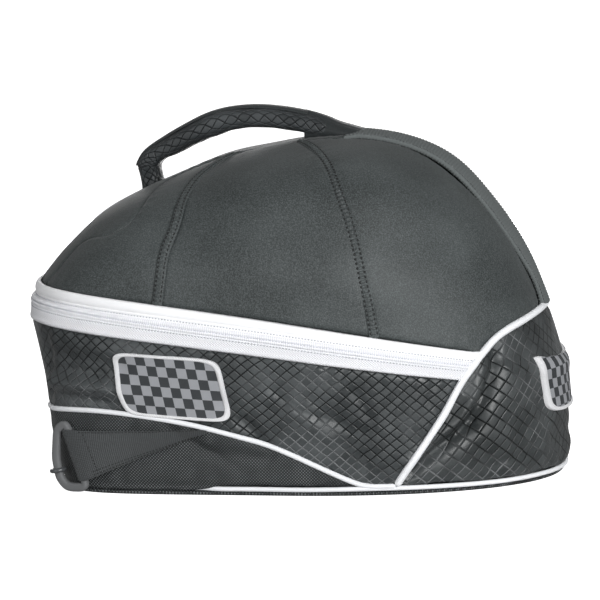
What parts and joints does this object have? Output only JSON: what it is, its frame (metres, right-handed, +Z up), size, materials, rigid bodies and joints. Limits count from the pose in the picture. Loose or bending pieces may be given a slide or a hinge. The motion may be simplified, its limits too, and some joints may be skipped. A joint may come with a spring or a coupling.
{
  "type": "motorcycle helmet bag",
  "caption": "Domed soft helmet bag with a slanting zip, ribbed spine, piped seams, padded top handle and webbing loops with plastic rings at the front corners.",
  "frame": {"origin": "middle of the overall box, on the floor under the base", "axes": "+X along the length towards the high, round rear end, -Y towards the near side, +Z up"},
  "size_m": [0.3986, 0.2788, 0.2695],
  "materials": {
    "softshell": "matt brushed softshell with a fine heather",
    "ripstop": "diamond ripstop with a low sheen",
    "ballistic": "coarse basket weave",
    "rib_mesh": "ribbed spacer mesh",
    "zip_tape": "white woven tape",
    "zip_coil": "white moulded coil",
    "piping": "white satin covered cord",
    "webbing": "grey ribbed webbing",
    "ring_plastic": "dark grey, half gloss",
    "bead_plastic": "black gloss",
    "slider_metal": "dark enamel",
    "thread": "dark polyester thread",
    "patch": "satin embroidery"
  },
  "bodies": {
    "root": {"base_panel": "ballistic", "base_piping": "piping", "side_panel": "ripstop", "lower_panel": "ballistic", "rear_panel": "ripstop", "rear_piping": "piping", "lower_piping": "piping", "zip_tape_lower": "zip_tape", "zip_tape_upper": "zip_tape", "zip_coil": "zip_coil", "zip_slider": "slider_metal", "dome_front_near": "softshell", "dome_front_far": "softshell", "dome_middle_near": "softshell", "dome_middle_far": "softshell", "dome_rear_near": "softshell", "dome_rear_far": "softshell", "front_strip": "softshell", "ribbed_spine": "rib_mesh", "handle_grip": "ripstop", "handle_binding": "softshell", "handle_foot_front": "ripstop", "handle_foot_rear": "softshell", "strap_tab_near": "webbing", "strap_tab_far": "webbing", "strap_ring_near": "ring_plastic", "strap_ring_far": "ring_plastic", "ring_bead_near": "bead_plastic", "ring_bead_far": "bead_plastic"}
  },
  "joints": []
}
